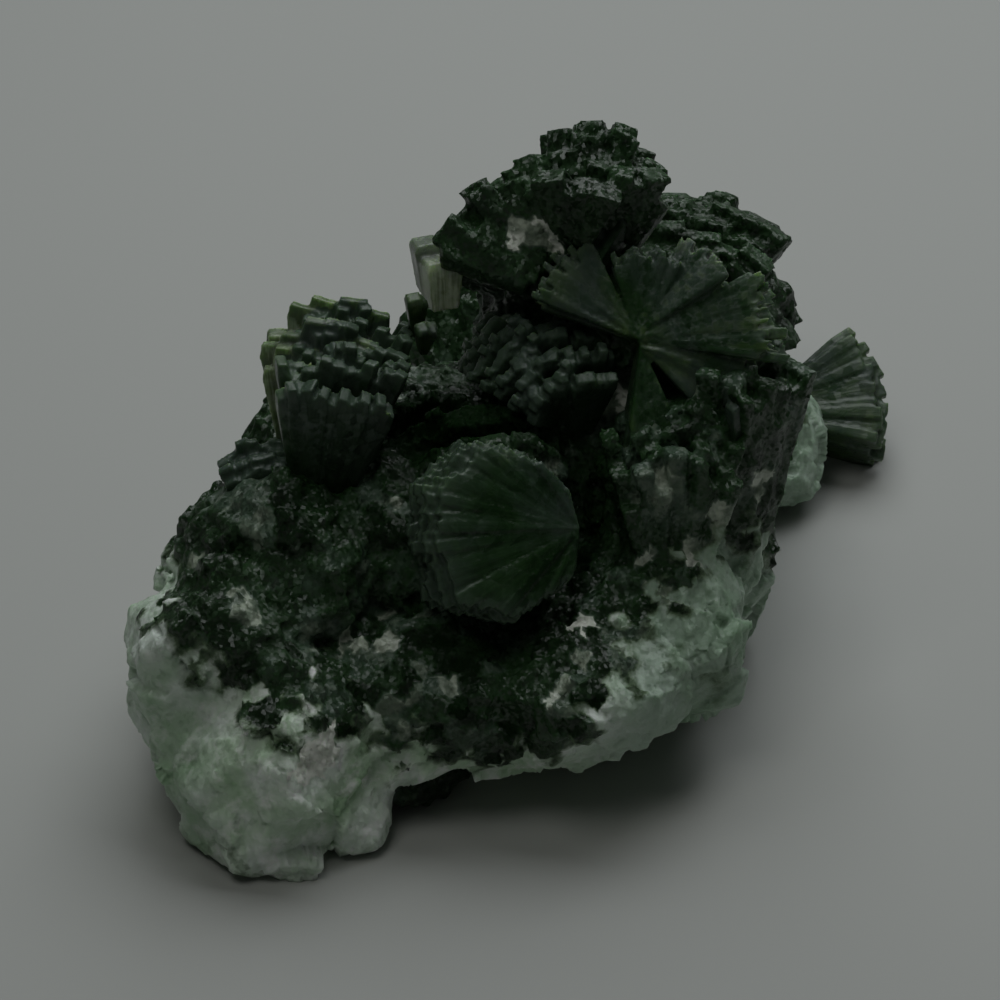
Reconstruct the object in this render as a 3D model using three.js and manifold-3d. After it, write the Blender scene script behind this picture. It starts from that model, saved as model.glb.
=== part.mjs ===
// Rough prehnite: a hand-sized piece broken from a vein, pale green and white where it tore from the rock,
// with a crust of dark green tabular crystals that fan out in sheaves, rosettes and blocky crusts above it.
// It formed as one piece, so it is one solid. Millimetres, +Z up, resting on its broken underside.
//
// Every place below is given as the specimen is looked at: x to the right, y away from the eye, z up from
// the surface that it rests on. LONG_SIDE_TURN then turns the finished solid so that its length lies along X.
import * as THREE from "three";
import { mergeVertices } from "three/addons/utils/BufferGeometryUtils.js";
import Module from "manifold-3d";

const LONG_SIDE_TURN = -51; // degrees about +Z
const MIDDLE = [4.3, 26.6]; // the point of the resting surface under the middle of the finished piece
const FRACTURES = 16; // flat faces broken across each lump of rock
const LUMP_SWELL = 1.22; // radius of a lump before its fracture faces are cut, against its half sizes
const FRACTURE_DEPTH = [0.78, 1.02]; // how far from a lump's middle a fracture face lies, likewise
const CRYSTAL_OVERLAP = 1.12; // a crystal's width against its share of a bundle, so that neighbours fuse
const PLATE_OVERLAP = 1.15; // a plate's depth against its share of a fan, so that plates fuse at the root
const TOOTH_WIDTH = 0.97; // share of its room on a fan's rim that a crystal's end takes
const CRUST_SINK = 0.35; // share of a crust block's size that is sunk in the mass under it
const SEED = 20;

const wasm = await Module();
wasm.setup();

// Repeatable random numbers from 0 to 1.
let state = SEED;
function random() {
  state = (state * 1664525 + 1013904223) % 4294967296;
  return state / 4294967296;
}
const between = (low, high) => low + (high - low) * random();

// A closed geometry as a solid that can be joined and cut.
function solid(geometry) {
  geometry.deleteAttribute("normal");
  geometry.deleteAttribute("uv");
  const merged = mergeVertices(geometry, 1e-4);
  return new wasm.Manifold(
    new wasm.Mesh({
      numProp: 3,
      vertProperties: new Float32Array(merged.attributes.position.array),
      triVerts: new Uint32Array(merged.index.array),
    }),
  );
}

// Broken rock: a round mass with flat fracture faces cut across it.
function lump([x, y, z], [rx, ry, rz]) {
  let made = solid(new THREE.IcosahedronGeometry(LUMP_SWELL, 0));
  for (let cut = 0; cut < FRACTURES; cut++) {
    const h = between(-1, 1);
    const r = Math.sqrt(1 - h * h);
    const turn = between(0, 2 * Math.PI);
    made = made.trimByPlane([r * Math.cos(turn), r * Math.sin(turn), h], -between(...FRACTURE_DEPTH));
  }
  return made.scale([rx, ry, rz]).translate([x, y, z]);
}

// The turned axes of something that points along one direction with a flat face towards another.
function axes(along, face) {
  const a = new THREE.Vector3(...along).normalize();
  const f = new THREE.Vector3(...face);
  f.addScaledVector(a, -f.dot(a)).normalize();
  return { along: a, face: f, side: new THREE.Vector3().crossVectors(a, f) };
}

// One tabular crystal: a bar that widens from its foot to its blocky end, which is cut at a slant.
function crystal(foot, along, face, { length, width, thick, taper = 0.5, slant = 0 }) {
  const { along: a, face: f, side: s } = axes(along, face);
  const geometry = new THREE.BoxGeometry(1, 1, 1);
  const p = geometry.attributes.position;
  const at = new THREE.Vector3();
  for (let i = 0; i < p.count; i++) {
    at.fromBufferAttribute(p, i);
    const tip = at.y > 0;
    const grow = tip ? 1 : taper;
    const reach = tip ? length * (1 + slant * at.x) : 0;
    const place = new THREE.Vector3(...foot)
      .addScaledVector(a, reach)
      .addScaledVector(s, at.x * width * grow)
      .addScaledVector(f, at.z * thick * grow);
    p.setXYZ(i, place.x, place.y, place.z);
  }
  const made = solid(geometry);
  return made.volume() < 0 ? solid(flipped(geometry)) : made;
}

// The same geometry with its faces turned round.
function flipped(geometry) {
  const turned = geometry.index ? geometry.toNonIndexed() : geometry;
  const p = turned.attributes.position.array;
  for (let i = 0; i < p.length; i += 9) {
    for (let k = 0; k < 3; k++) {
      [p[i + 3 + k], p[i + 6 + k]] = [p[i + 6 + k], p[i + 3 + k]];
    }
  }
  return turned;
}

// A bundle: stout crystals that spread from one root, side by side and in rows behind each other.
function bundle(root, along, face, options) {
  const { length, spread, blades, thick, rows = 1, flare = 0, start = 0.3, ragged = 0.1 } = options;
  const { along: a, face: f, side: s } = axes(along, face);
  const made = [];
  for (let row = 0; row < rows; row++) {
    const back = rows > 1 ? row / (rows - 1) - 0.5 : 0;
    for (let blade = 0; blade < blades; blade++) {
      const across = blades > 1 ? blade / (blades - 1) - 0.5 : 0;
      const turn = THREE.MathUtils.degToRad(across * 2 * spread + between(-1, 1) * spread * 0.04);
      const lean = THREE.MathUtils.degToRad(back * 2 * flare + between(-2, 2));
      const way = a
        .clone()
        .multiplyScalar(Math.cos(turn))
        .addScaledVector(s, Math.sin(turn))
        .multiplyScalar(Math.cos(lean))
        .addScaledVector(f, Math.sin(lean));
      const foot = new THREE.Vector3(...root).addScaledVector(way, length * start);
      const share = (2 * THREE.MathUtils.degToRad(spread) * length) / Math.max(blades - 1, 1);
      made.push(
        crystal(foot.toArray(), way.toArray(), f.toArray(), {
          length: length * (1 - start) * (1 + between(-ragged, ragged)),
          width: share * CRYSTAL_OVERLAP,
          thick: (thick / rows) * between(0.9, 1.25),
          taper: Math.max(start, 0.25),
          slant: between(-0.12, 0.12),
        }),
      );
    }
  }
  return made;
}

// A fan: plates that spread from one root and lie on each other like leaves, each with a stepped rim
// where its crystals end. skew makes one side of the fan longer than the other.
function fan(root, along, face, options) {
  const { length, spread, teeth, thick, plates = 2, flare = 6 } = options;
  const { start = 0.2, ragged = 0.08, skew = 0 } = options;
  const { along: a, face: f, side: s } = axes(along, face);
  const half = THREE.MathUtils.degToRad(spread);
  const made = [];
  for (let plate = 0; plate < plates; plate++) {
    const back = plates > 1 ? plate / (plates - 1) - 0.5 : 0;
    const lean = THREE.MathUtils.degToRad(back * 2 * flare);
    const way = a.clone().multiplyScalar(Math.cos(lean)).addScaledVector(f, Math.sin(lean));
    const flat = f.clone().multiplyScalar(Math.cos(lean)).addScaledVector(a, -Math.sin(lean));
    const outline = [];
    for (let tooth = 0; tooth < teeth; tooth++) {
      const across = (2 * (tooth + 0.5)) / teeth - 1;
      const reach = length * (1 + skew * across + between(-ragged, ragged));
      for (const edge of [-TOOTH_WIDTH, TOOTH_WIDTH]) {
        const turn = half * (across + edge / teeth);
        outline.push(new THREE.Vector2(reach * Math.sin(turn), reach * Math.cos(turn)));
      }
    }
    for (const turn of [half, 0, -half]) {
      outline.push(new THREE.Vector2(length * start * Math.sin(turn), length * start * Math.cos(turn)));
    }
    const depth = (thick / plates) * PLATE_OVERLAP;
    const geometry = new THREE.ExtrudeGeometry(new THREE.Shape(outline), { depth, bevelEnabled: false });
    const step = back * thick * (1 - 1 / plates);
    const middle = new THREE.Vector3(...root).addScaledVector(flat, step - depth / 2);
    geometry.applyMatrix4(new THREE.Matrix4().makeBasis(s, way, flat).setPosition(middle));
    const one = solid(geometry);
    made.push(one.volume() < 0 ? solid(flipped(geometry)) : one);
  }
  return made;
}

// A crust: blocky crystals that stand out of a rounded mass on the side that faces one way.
function crust([x, y, z], [rx, ry, rz], towards, { count, size, reach }) {
  const facing = new THREE.Vector3(...towards).normalize();
  const golden = Math.PI * (3 - Math.sqrt(5));
  const made = [];
  for (let i = 0; i < count * 2; i++) {
    const h = 1 - (2 * (i + 0.5)) / (count * 2);
    const r = Math.sqrt(1 - h * h);
    const out = new THREE.Vector3(r * Math.cos(golden * i), r * Math.sin(golden * i), h);
    const tilt = new THREE.Vector3(between(-0.45, 0.45), between(-0.45, 0.45), between(-0.3, 0.6));
    const block = size * between(0.7, 1.4);
    if (out.dot(facing) < reach) continue;
    const foot = [x + rx * out.x, y + ry * out.y, z + rz * out.z];
    const way = out.clone().add(tilt).normalize();
    const sunk = new THREE.Vector3(...foot).addScaledVector(way, -block * (1 + CRUST_SINK));
    made.push(
      crystal(sunk.toArray(), way.toArray(), [tilt.y, 1, tilt.x], {
        length: block * (1.5 + CRUST_SINK),
        width: block,
        thick: block * between(0.6, 1),
        taper: 0.8,
      }),
    );
  }
  return made;
}

// The pale root of the specimen, with the dark mass that the crystals stand on: centre and half sizes
const ROCK = [
  [[-14.4, 6.0, 5.2], [8.4, 7.4, 7.8]], // front lobe, which reaches the surface nearest the eye
  [[-13.2, 3.6, 2.4], [6.0, 5.2, 5.2]], // foot of the lobe
  [[-18.0, 9.8, 9.4], [6.8, 7.2, 7.6]], // left wall
  [[-18.6, 7.2, 5.0], [5.2, 4.8, 5.2]], // shards at the lobe's left
  [[-4.2, 11.0, 7.8], [9.6, 7.8, 6.0]], // belly, which overhangs the surface
  [[4.8, 10.4, 8.2], [8.6, 8.0, 5.8]], // right rim
  [[11.2, 14.4, 10.0], [6.2, 6.6, 7.2]], // right corner
  [[13.4, 26.0, 9.0], [6.2, 10.0, 9.8]], // right side, to the back
  [[-4.5, 25.0, 10.0], [13.4, 12.4, 11.4]], // middle body
  [[8.0, 37.0, 9.6], [10.8, 12.2, 10.4]], // back body
  [[18.0, 45.0, 4.4], [6.0, 6.5, 5.4]], // far end
  [[-14.4, 14.4, 13.4], [7.4, 7.4, 7.2]], // left mound
  [[-5.0, 18.0, 15.6], [8.2, 6.6, 5.4]], // valley floor
  [[7.8, 26.0, 17.4], [9.0, 6.4, 9.4]], // middle ridge
  [[4.2, 30.2, 25.0], [5.6, 4.8, 7.0]], // peak
  [[12.6, 21.0, 16.0], [5.6, 6.0, 10.4]], // right wall
  [[14.0, 48.6, 10.0], [6.4, 6.0, 8.0]], // back knob
  [[9.5, 38.5, 13.6], [7.6, 7.6, 7.4]], // saddle between peak and knob
  [[-10.0, 19.0, 7.0], [9.0, 7.0, 7.4]], // left side, between the lobe and the middle body
  [[14.4, 36.5, 6.4], [6.4, 8.0, 6.8]], // right side, between the middle and the far end
  [[1.0, 16.6, 7.0], [12.0, 9.0, 6.6]], // underside behind the rim
];
const CAVE = [[-2.6, 22.0, 23.6], [3.6, 4.6, 2.8]]; // dark hollow under the stepped crystals

// Bundles: root, the way the middle crystal points, the way the flat of the bundle faces, and its sizes
const BUNDLES = [
  // left barrel, its blunt ends up
  [[-10.6, 20.2, 12.8], [-0.02, 0.05, 1], [0, -1, 0.1],
    { length: 16.4, spread: 14, blades: 5, thick: 8.6, rows: 3, flare: 12, start: 0.45, ragged: 0.04 }],
  // pale block and the square crystals at its foot
  [[-4.4, 25.6, 25.0], [-0.06, 0.14, 1], [0.3, -1, 0.2],
    { length: 6.2, spread: 8, blades: 2, thick: 2.4, start: 0.2 }],
  [[-4.0, 24.2, 23.6], [-0.1, -0.3, 1], [0.4, -1, 0],
    { length: 5.2, spread: 20, blades: 3, thick: 3.4, rows: 2, flare: 16, ragged: 0.14 }],
  // laths at the peak's right
  [[4.2, 25.0, 28.0], [0.4, 0.64, 0.64], [-0.3, -0.7, 0.7],
    { length: 11.6, spread: 9, blades: 4, thick: 4.2, start: 0.3 }],
  // steps of square crystals between the rosette and the cave
  [[4.4, 24.6, 21.4], [-0.6, -0.34, 0.74], [0.2, -0.9, 0.4],
    { length: 7.6, spread: 20, blades: 4, thick: 5.6, rows: 3, flare: 18, ragged: 0.18 }],
  // small blades at the front fan's right
  [[5.8, 16.0, 16.4], [0.06, -0.4, 0.9], [0.3, -0.8, 0.5],
    { length: 6.2, spread: 26, blades: 4, thick: 1.8, flare: 16, ragged: 0.14 }],
  // upright columns of the right wall
  [[11.4, 14.4, 8.0], [0.02, 0.1, 1], [0.2, -1, 0.1],
    { length: 15.6, spread: 14, blades: 5, thick: 4.2, start: 0.25, ragged: 0.1 }],
  [[16.2, 20.0, 8.6], [0.06, 0.04, 1], [0.75, -0.7, 0.1],
    { length: 18.4, spread: 10, blades: 5, thick: 4.2, start: 0.3, ragged: 0.06 }],
];

// Fans: root, the way the middle of the fan points, the way its flat faces, and its sizes
const FANS = [
  // low green fan behind the left mound
  [[-16.0, 17.6, 16.0], [-0.12, 0.1, 1], [0.2, -1, 0.3], { length: 5.8, spread: 36, teeth: 4, thick: 2.4 }],
  // peak: a short fan at the left and a tall one in the middle, which lean back
  [[4.0, 25.2, 28.4], [-0.66, 0.54, 0.53], [-0.15, -0.68, 0.72],
    { length: 9.8, spread: 25, teeth: 5, thick: 5.6, plates: 3, flare: 10, start: 0.3, ragged: 0.06 }],
  [[4.0, 25.2, 28.4], [-0.04, 0.72, 0.7], [0.05, -0.7, 0.72],
    { length: 12.4, spread: 22, teeth: 5, thick: 5, plates: 3, flare: 8, start: 0.3, ragged: 0.05, skew: 0.08 }],
  // rosette: plates that radiate from one point and face the eye
  [[9.3, 21.4, 28.0], [-0.62, 0.4, 0.42], [0.1, -0.72, 0.62],
    { length: 7.8, spread: 19, teeth: 3, thick: 1.7 }],
  [[9.3, 21.4, 28.0], [0.1, 0.66, 0.74], [0, -0.8, 0.6],
    { length: 7.0, spread: 19, teeth: 3, thick: 1.5 }],
  [[9.3, 21.2, 28.0], [0.66, 0.5, 0.5], [-0.5, -0.6, 0.7],
    { length: 8.0, spread: 15, teeth: 3, thick: 1.9 }],
  [[9.3, 21.4, 28.0], [0.97, 0.16, 0.12], [-0.1, -0.8, 0.7],
    { length: 8.8, spread: 16, teeth: 3, thick: 2.2 }],
  [[9.3, 21.0, 28.0], [0.86, -0.1, -0.44], [0.2, -0.9, 0.5],
    { length: 8.0, spread: 18, teeth: 3, thick: 1.9 }],
  [[9.3, 19.6, 28.2], [0.12, -0.56, -0.8], [0.1, -0.8, 0.6],
    { length: 8.6, spread: 18, teeth: 3, thick: 2.2 }],
  // ragged crest across the valley
  [[-0.8, 19.6, 16.6], [-0.06, -0.2, 1], [0, -1, 0.3],
    { length: 7.4, spread: 56, teeth: 6, thick: 3.0, plates: 2, flare: 8, ragged: 0.12 }],
  // front fan: a shell-like half disc that faces the eye, its root at the right
  [[4.6, 12.8, 18.4], [-0.96, -0.3, 0.1], [-0.05, -0.82, 0.56],
    { length: 11.4, spread: 39, teeth: 11, thick: 4.6, plates: 3, flare: 6, start: 0.12, ragged: 0.04 }],
  // far end: the knob's fans, and the low bright fan at its right
  [[13.6, 47.6, 10.4], [-0.06, 0.3, 1], [-0.3, -1, 0.3],
    { length: 10.6, spread: 40, teeth: 7, thick: 6.4, plates: 3, flare: 16 }],
  [[16.0, 47.4, 9.6], [0.6, 0.1, 0.9], [0, -1, 0.4],
    { length: 6.8, spread: 30, teeth: 5, thick: 5.0, plates: 2, flare: 12 }],
  [[18.4, 48.0, 3.6], [0.96, 0.2, 0.12], [0, -0.6, 0.8],
    { length: 10.6, spread: 28, teeth: 6, thick: 5.4, plates: 2, flare: 4, ragged: 0.05 }],
  // right side, hidden from the eye by its columns
  [[16.0, 27.0, 9.0], [0.35, 0.1, 1], [1, -0.2, -0.2],
    { length: 13.0, spread: 34, teeth: 6, thick: 3.6, plates: 2, flare: 9 }],
  // back slope
  [[-9.0, 26.6, 12.6], [-0.5, 0.6, 0.66], [-0.5, 0.3, 0.8],
    { length: 9.8, spread: 44, teeth: 6, thick: 4.6, plates: 2, flare: 12 }],
  [[0.6, 35.4, 14.0], [-0.3, 0.7, 0.6], [-0.4, 0.6, 0.8],
    { length: 9.4, spread: 46, teeth: 6, thick: 4.6, plates: 3, flare: 14 }],
  [[8.6, 40.6, 15.0], [0.1, 0.2, 1], [-0.3, 1, 0.3],
    { length: 7.2, spread: 46, teeth: 6, thick: 4.6, plates: 2, flare: 12 }],
  [[-16.6, 18.0, 8.4], [-0.7, 0.66, 0.4], [-0.5, 0.2, 0.8],
    { length: 7.4, spread: 42, teeth: 6, thick: 3.8, plates: 2, flare: 12 }],
];

// Crusts of small blocky crystals: the mass they sit on, the side they face, and their sizes
const CRUSTS = [
  [[-14.4, 14.0, 13.6], [7.2, 7.0, 6.8], [-0.1, -0.7, 0.75], { count: 20, size: 2.1, reach: 0.2 }],
  [[-4.6, 12.6, 13.0], [7.4, 6.6, 6.2], [0, -0.9, 0.5], { count: 12, size: 2.2, reach: 0.3 }],
  [[3.0, 11.4, 10.0], [9.6, 7.6, 5.0], [0, -1, 0.35], { count: 13, size: 2.5, reach: 0.4 }],
  [[8.0, 13.6, 13.0], [6.4, 6.4, 5.6], [0.3, -0.9, 0.3], { count: 8, size: 2.4, reach: 0.45 }],
  [[5.4, 21.6, 20.6], [6.4, 5.6, 6.0], [-0.3, -0.9, 0.4], { count: 8, size: 2.1, reach: 0.4 }],
  [[4.6, 31.6, 28.2], [5.0, 5.2, 7.8], [-0.1, 0.5, 1], { count: 8, size: 1.9, reach: 0.4 }],
  [[7.0, 33.0, 20.0], [9.0, 8.0, 9.0], [0.1, 1, 0.35], { count: 9, size: 2.8, reach: 0.35 }],
  [[14.4, 49.6, 10.0], [6.6, 6.2, 8.0], [0.1, 0.8, 0.6], { count: 6, size: 2.4, reach: 0.3 }],
];

// Everything is joined, the cave is cut out, and the underside is cut level where it stands.
function specimen() {
  const rock = ROCK.map(([centre, half]) => lump(centre, half));
  const mass = rock.reduce((all, one) => all.add(one)).subtract(lump(...CAVE));
  const crystals = [
    ...BUNDLES.flatMap(([root, along, face, options]) => bundle(root, along, face, options)),
    ...FANS.flatMap(([root, along, face, options]) => fan(root, along, face, options)),
    ...CRUSTS.flatMap(([centre, half, towards, options]) => crust(centre, half, towards, options)),
  ];
  const whole = crystals.reduce((all, one) => all.add(one), mass);
  return largest(whole.trimByPlane([0, 0, 1], 0));
}

// The biggest piece of a solid that a cut has left in several.
function largest(made) {
  return made.decompose().sort((a, b) => b.volume() - a.volume())[0];
}

function geometryOf(made) {
  const { numProp, vertProperties, triVerts } = made.getMesh();
  const places = new Float32Array((vertProperties.length / numProp) * 3);
  for (let i = 0; i < places.length / 3; i++) {
    places.set(vertProperties.subarray(i * numProp, i * numProp + 3), i * 3);
  }
  const geometry = new THREE.BufferGeometry();
  geometry.setAttribute("position", new THREE.BufferAttribute(places, 3));
  geometry.setIndex(new THREE.BufferAttribute(triVerts, 1));
  return geometry;
}

const prehnite = new THREE.Mesh(
  geometryOf(specimen()).translate(-MIDDLE[0], -MIDDLE[1], 0),
  new THREE.MeshStandardMaterial({ color: 0x1f3a28, roughness: 0.45, metalness: 0 }),
);
prehnite.name = "prehnite";
prehnite.rotation.z = THREE.MathUtils.degToRad(LONG_SIDE_TURN);

const group = new THREE.Group();
group.add(prehnite);

export default group;
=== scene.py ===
import math

import bmesh
import bpy
import numpy as np
from mathutils import Matrix, Vector
from mathutils.kdtree import KDTree


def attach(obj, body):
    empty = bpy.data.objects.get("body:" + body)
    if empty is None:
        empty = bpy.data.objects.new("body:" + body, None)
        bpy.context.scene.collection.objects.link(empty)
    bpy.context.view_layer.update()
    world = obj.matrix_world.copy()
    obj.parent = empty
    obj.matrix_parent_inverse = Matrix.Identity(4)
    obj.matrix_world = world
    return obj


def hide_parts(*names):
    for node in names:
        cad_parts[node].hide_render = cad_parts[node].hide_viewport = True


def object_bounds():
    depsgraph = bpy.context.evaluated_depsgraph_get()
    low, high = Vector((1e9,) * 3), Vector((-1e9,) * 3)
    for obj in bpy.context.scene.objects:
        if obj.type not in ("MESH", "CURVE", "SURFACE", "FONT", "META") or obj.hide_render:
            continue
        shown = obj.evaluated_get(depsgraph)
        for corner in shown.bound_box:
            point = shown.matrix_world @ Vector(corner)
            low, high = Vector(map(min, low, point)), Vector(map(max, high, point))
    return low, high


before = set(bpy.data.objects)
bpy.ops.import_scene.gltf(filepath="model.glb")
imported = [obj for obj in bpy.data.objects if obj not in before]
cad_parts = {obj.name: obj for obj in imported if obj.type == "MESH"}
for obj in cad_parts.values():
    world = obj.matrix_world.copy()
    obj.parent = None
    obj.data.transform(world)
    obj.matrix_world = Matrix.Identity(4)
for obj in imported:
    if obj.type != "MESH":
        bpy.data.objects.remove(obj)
cad_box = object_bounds()

# The view. The specimen lies on its broken underside and is looked at from 35 degrees above, almost along
# its length. Every place below is in millimetres as it is seen so: x to the right, y away from the eye,
# z up. TO_ROW carries that to the part's own frame, with its length along X, in metres.
LONG_SIDE_TURN = math.radians(-51)
MIDDLE = (4.3, 26.6)
TO_ROW = (
    Matrix.Rotation(LONG_SIDE_TURN, 4, "Z")
    @ Matrix.Scale(0.001, 4)
    @ Matrix.Translation((-MIDDLE[0], -MIDDLE[1], 0))
)
EYE_HEIGHT = math.radians(35)
EYE_DISTANCE = 300.0
VIEW_WIDTH = 66.7  # width of what the eye sees at its target
EYE_TARGET = Vector((0, 14.16, 20.22))
FILM_WIDTH = 36.0

sight = Vector((0, math.cos(EYE_HEIGHT), -math.sin(EYE_HEIGHT)))
camera = bpy.data.objects.new("camera", bpy.data.cameras.new("camera"))
bpy.context.scene.collection.objects.link(camera)
camera.location = TO_ROW @ (EYE_TARGET - EYE_DISTANCE * sight)
camera.rotation_euler = (TO_ROW.to_3x3() @ sight).to_track_quat("-Z", "Y").to_euler()
camera.data.sensor_width = FILM_WIDTH
camera.data.lens = FILM_WIDTH * EYE_DISTANCE / VIEW_WIDTH
camera.data.clip_start = 0.01
bpy.context.scene.camera = camera
bpy.context.scene.view_settings.view_transform = "Standard"

# The studio. One wide window-like light above, behind and to the left, a small weak one in front, and a
# dim room around them; the floor is plain, pale and matt.
LIGHTS = {
    "window": ((40, 165, 270), 280, 0.54, (0.95, 0.98, 1.0)),
    "fill": ((-80, -95, 380), 160, 0.17, (1.0, 1.0, 0.97)),
}
ROOM_COLOR = (0.86, 0.95, 0.90)
ROOM_STRENGTH = 0.034
FLOOR_COLOR = (0.42, 0.43, 0.41)

for light_name, (place, size, power, color) in LIGHTS.items():
    lamp = bpy.data.lights.new(light_name, "AREA")
    lamp.energy = power
    lamp.size = size / 1000
    lamp.color = color
    light = bpy.data.objects.new(light_name, lamp)
    light.location = TO_ROW @ Vector(place)
    light.visible_glossy = light_name == "window"
    aim = TO_ROW.to_3x3() @ (Vector((0, 25, 10)) - Vector(place))
    light.rotation_euler = aim.to_track_quat("-Z", "Y").to_euler()
    bpy.context.scene.collection.objects.link(light)

room = bpy.data.worlds.new("room")
room.use_nodes = True
room.node_tree.nodes["Background"].inputs["Color"].default_value = (*ROOM_COLOR, 1)
room.node_tree.nodes["Background"].inputs["Strength"].default_value = ROOM_STRENGTH
bpy.context.scene.world = room

bm = bmesh.new()
bmesh.ops.create_grid(bm, x_segments=1, y_segments=1, size=2.0)
floor_mesh = bpy.data.meshes.new("floor")
bm.to_mesh(floor_mesh)
bm.free()
floor = bpy.data.objects.new("floor", floor_mesh)
bpy.context.scene.collection.objects.link(floor)
floor_paint = bpy.data.materials.new("floor_paint")
floor_paint.use_nodes = True
floor_paint.node_tree.nodes["Principled BSDF"].inputs["Base Color"].default_value = (*FLOOR_COLOR, 1)
floor_paint.node_tree.nodes["Principled BSDF"].inputs["Roughness"].default_value = 0.75
floor_mesh.materials.append(floor_paint)

# The mass. Pale green to white fractured prehnite below, broken out of its vein, with flat fracture faces
# and ledges; above it the dark green mass of small intergrown crystals that the large ones stand on. All of
# it is one fused body.
FRACTURES = 16
LUMP_SWELL = 1.22
FRACTURE_DEPTH = (0.78, 1.02)
ROCK = [
    ((-14.8, 6.0, 5.2), (8.0, 7.4, 7.8)),  # front lobe, which reaches the surface nearest the eye
    ((-14.2, 3.6, 2.4), (4.4, 5.2, 5.2)),  # foot of the lobe
    ((-18.0, 9.8, 9.4), (6.8, 7.2, 7.6)),  # left wall
    ((-18.6, 7.2, 5.0), (5.2, 4.8, 5.2)),  # shards at the lobe's left
    ((-4.2, 11.0, 7.8), (9.6, 7.8, 6.0)),  # belly, which overhangs the surface
    ((4.8, 10.4, 8.2), (8.6, 8.0, 5.8)),  # right rim
    ((11.2, 14.4, 10.0), (6.2, 6.6, 7.2)),  # right corner
    ((13.4, 26.0, 9.0), (6.2, 10.0, 9.8)),  # right side, to the back
    ((-4.5, 25.0, 10.0), (13.4, 12.4, 11.4)),  # middle body
    ((8.0, 37.0, 9.6), (10.8, 12.2, 10.4)),  # back body
    ((18.0, 45.0, 4.4), (6.0, 6.5, 5.4)),  # far end
    ((-14.4, 14.4, 13.4), (7.4, 7.4, 7.2)),  # left mound
    ((-5.0, 18.0, 15.6), (8.2, 6.6, 5.4)),  # valley floor
    ((7.8, 26.0, 17.4), (9.0, 6.4, 9.4)),  # middle ridge
    ((4.2, 30.2, 25.0), (5.6, 4.8, 7.0)),  # peak
    ((12.6, 21.0, 16.0), (5.6, 6.0, 10.4)),  # right wall
    ((14.4, 48.6, 10.4), (6.8, 6.0, 8.2)),  # back knob
    ((9.5, 38.5, 13.6), (7.6, 7.6, 7.4)),  # saddle between peak and knob
    ((-10.0, 19.0, 7.0), (9.0, 7.0, 7.4)),  # left side, between the lobe and the middle body
    ((13.6, 36.5, 6.4), (5.6, 8.0, 6.8)),  # right side, between the middle and the far end
    ((1.0, 16.6, 7.0), (12.0, 9.0, 6.6)),  # underside behind the rim
]
LATE_ROCK = [  # seed, middle, half sizes
    (4, (9.5, 25.0, 26.0), (4.8, 3.0, 4.6)),  # behind the rosette
    (3, (-5.5, 8.4, 1.8), (3.6, 2.8, 1.8)),  # dark crystal under the belly
]
DARK_FOOT = ((-5.5, 7.6, 0.8), (3.9, 3.4, 2.4))  # the pale root is dark here
CAVE = ((-3.4, 21.8, 20.6), (4.2, 3.4, 4.4))
ROCK_GRID = 0.4
MASS_GRID = 0.23
MASS_TRIANGLES = 285000
FRACTURE_FACES = ((4.0, 0.21, 0.1), (1.1, 0.16, 0.04))  # width, slope and step of the flat faces
SURFACE = 9000  # square millimetres, about
BOOKS = 1100
PALE_SPLINTERS = 8  # one grain in so many is left on the pale root
BOX_MARGIN = 0.00002


class Chance:
    """Repeatable random numbers."""

    def __init__(self, seed):
        self.state = seed

    def between(self, low, high):
        self.state = (self.state * 1664525 + 1013904223) % 4294967296
        return low + (high - low) * self.state / 4294967296


def lump(chance, centre, half):
    """Broken rock: a round mass with flat fracture faces cut across it."""
    bm = bmesh.new()
    bmesh.ops.create_icosphere(bm, subdivisions=1, radius=LUMP_SWELL)
    for _ in range(FRACTURES):
        h = chance.between(-1, 1)
        r = math.sqrt(1 - h * h)
        turn = chance.between(0, math.tau)
        out = -Vector((r * math.cos(turn), r * math.sin(turn), h))
        depth = chance.between(*FRACTURE_DEPTH)
        everything = bm.verts[:] + bm.edges[:] + bm.faces[:]
        bmesh.ops.bisect_plane(bm, geom=everything, plane_co=out * depth, plane_no=out, clear_outer=True)
        bmesh.ops.holes_fill(bm, edges=[e for e in bm.edges if e.is_boundary])
    bmesh.ops.scale(bm, verts=bm.verts, vec=half)
    bmesh.ops.translate(bm, verts=bm.verts, vec=centre)
    bmesh.ops.recalc_face_normals(bm, faces=bm.faces)
    mesh = bpy.data.meshes.new("lump")
    bm.to_mesh(mesh)
    bm.free()
    return mesh


def merged(*meshes):
    """One mesh of all of these."""
    bm = bmesh.new()
    for mesh in meshes:
        bm.from_mesh(mesh)
    whole = bpy.data.meshes.new("merged")
    bm.to_mesh(whole)
    bm.free()
    return whole


def changed(mesh, kind, **settings):
    """The mesh after one modifier."""
    made = bpy.data.objects.new("changed", mesh)
    bpy.context.scene.collection.objects.link(made)
    modifier = made.modifiers.new("change", kind)
    for key, value in settings.items():
        setattr(modifier, key, value)
    bpy.context.view_layer.update()
    result = bpy.data.meshes.new_from_object(made.evaluated_get(bpy.context.evaluated_depsgraph_get()))
    bpy.data.objects.remove(made)
    return result


def places(mesh):
    """The mesh's points as rows of three numbers."""
    found = np.empty(len(mesh.vertices) * 3, np.float32)
    mesh.vertices.foreach_get("co", found)
    return found.reshape(-1, 3).astype(float)


def put(mesh, points):
    mesh.vertices.foreach_set("co", points.astype(np.float32).ravel())
    mesh.update()


def outward(mesh):
    """The way out of the mesh at each of its points."""
    found = np.empty(len(mesh.vertices) * 3, np.float32)
    mesh.vertex_normals.foreach_get("vector", found)
    return found.reshape(-1, 3).astype(float)


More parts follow.
